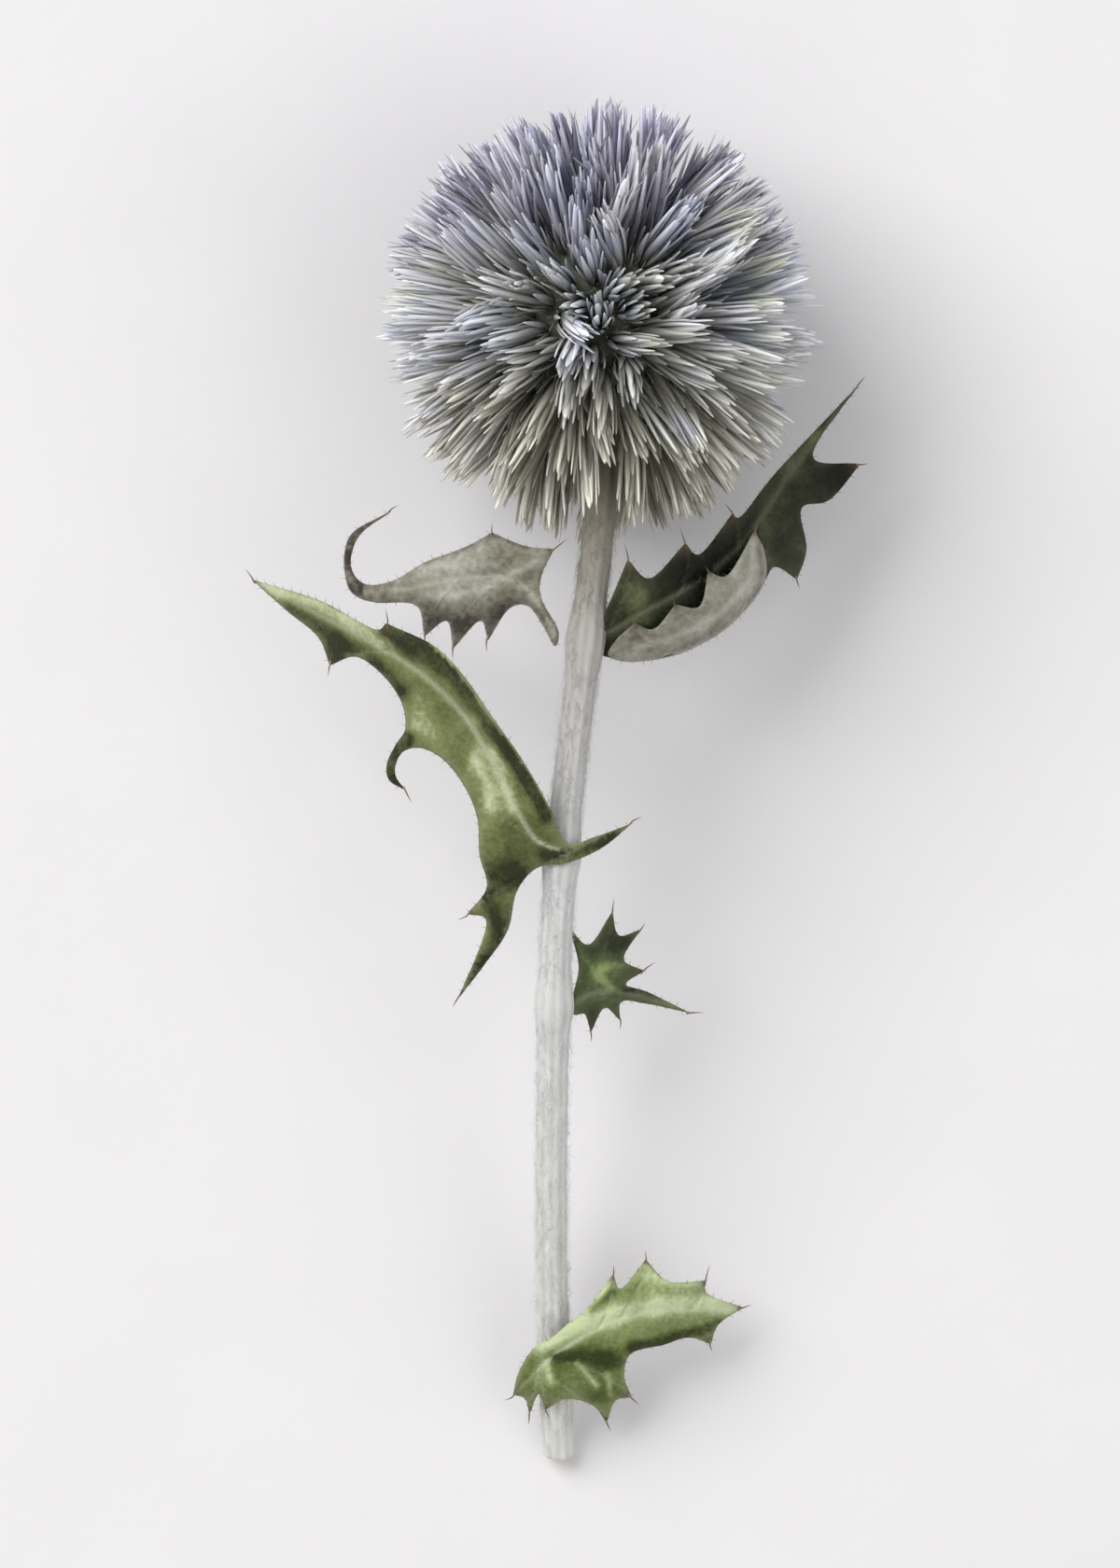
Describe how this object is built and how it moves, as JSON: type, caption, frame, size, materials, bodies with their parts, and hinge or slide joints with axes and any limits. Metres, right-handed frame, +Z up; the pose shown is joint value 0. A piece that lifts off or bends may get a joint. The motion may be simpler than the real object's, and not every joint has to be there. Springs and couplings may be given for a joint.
{
  "type": "globe thistle flower head",
  "caption": "Dried globe thistle flower head, a ball of spiky florets on its own ribbed leafy stalk, picked and lying flat.",
  "frame": {"origin": "on the surface the flower lies on, straight under the middle of the globe, at the flat spot the globe rests on", "axes": "+Z up from the surface; -Y along the stalk, from the globe to the cut end; +X to the right when seen from above with the globe at the top"},
  "size_m": [0.0588, 0.133, 0.0409],
  "materials": {
    "florets": "dry papery bracts, slate violet-blue with pale lilac and grey-green tips, matt",
    "stalk": "dry ribbed stalk under pale grey wool, matt",
    "leaves": "dry leaf, green above and pale grey felt beneath, matt with a faint sheen"
  },
  "bodies": {
    "root": {"flower_head": "florets", "stalk": "stalk", "leaf_upper_right": "leaves", "leaf_upper_left": "leaves", "leaf_mid_left": "leaves", "leaf_mid_right": "leaves", "leaf_lower_right": "leaves"}
  },
  "joints": []
}
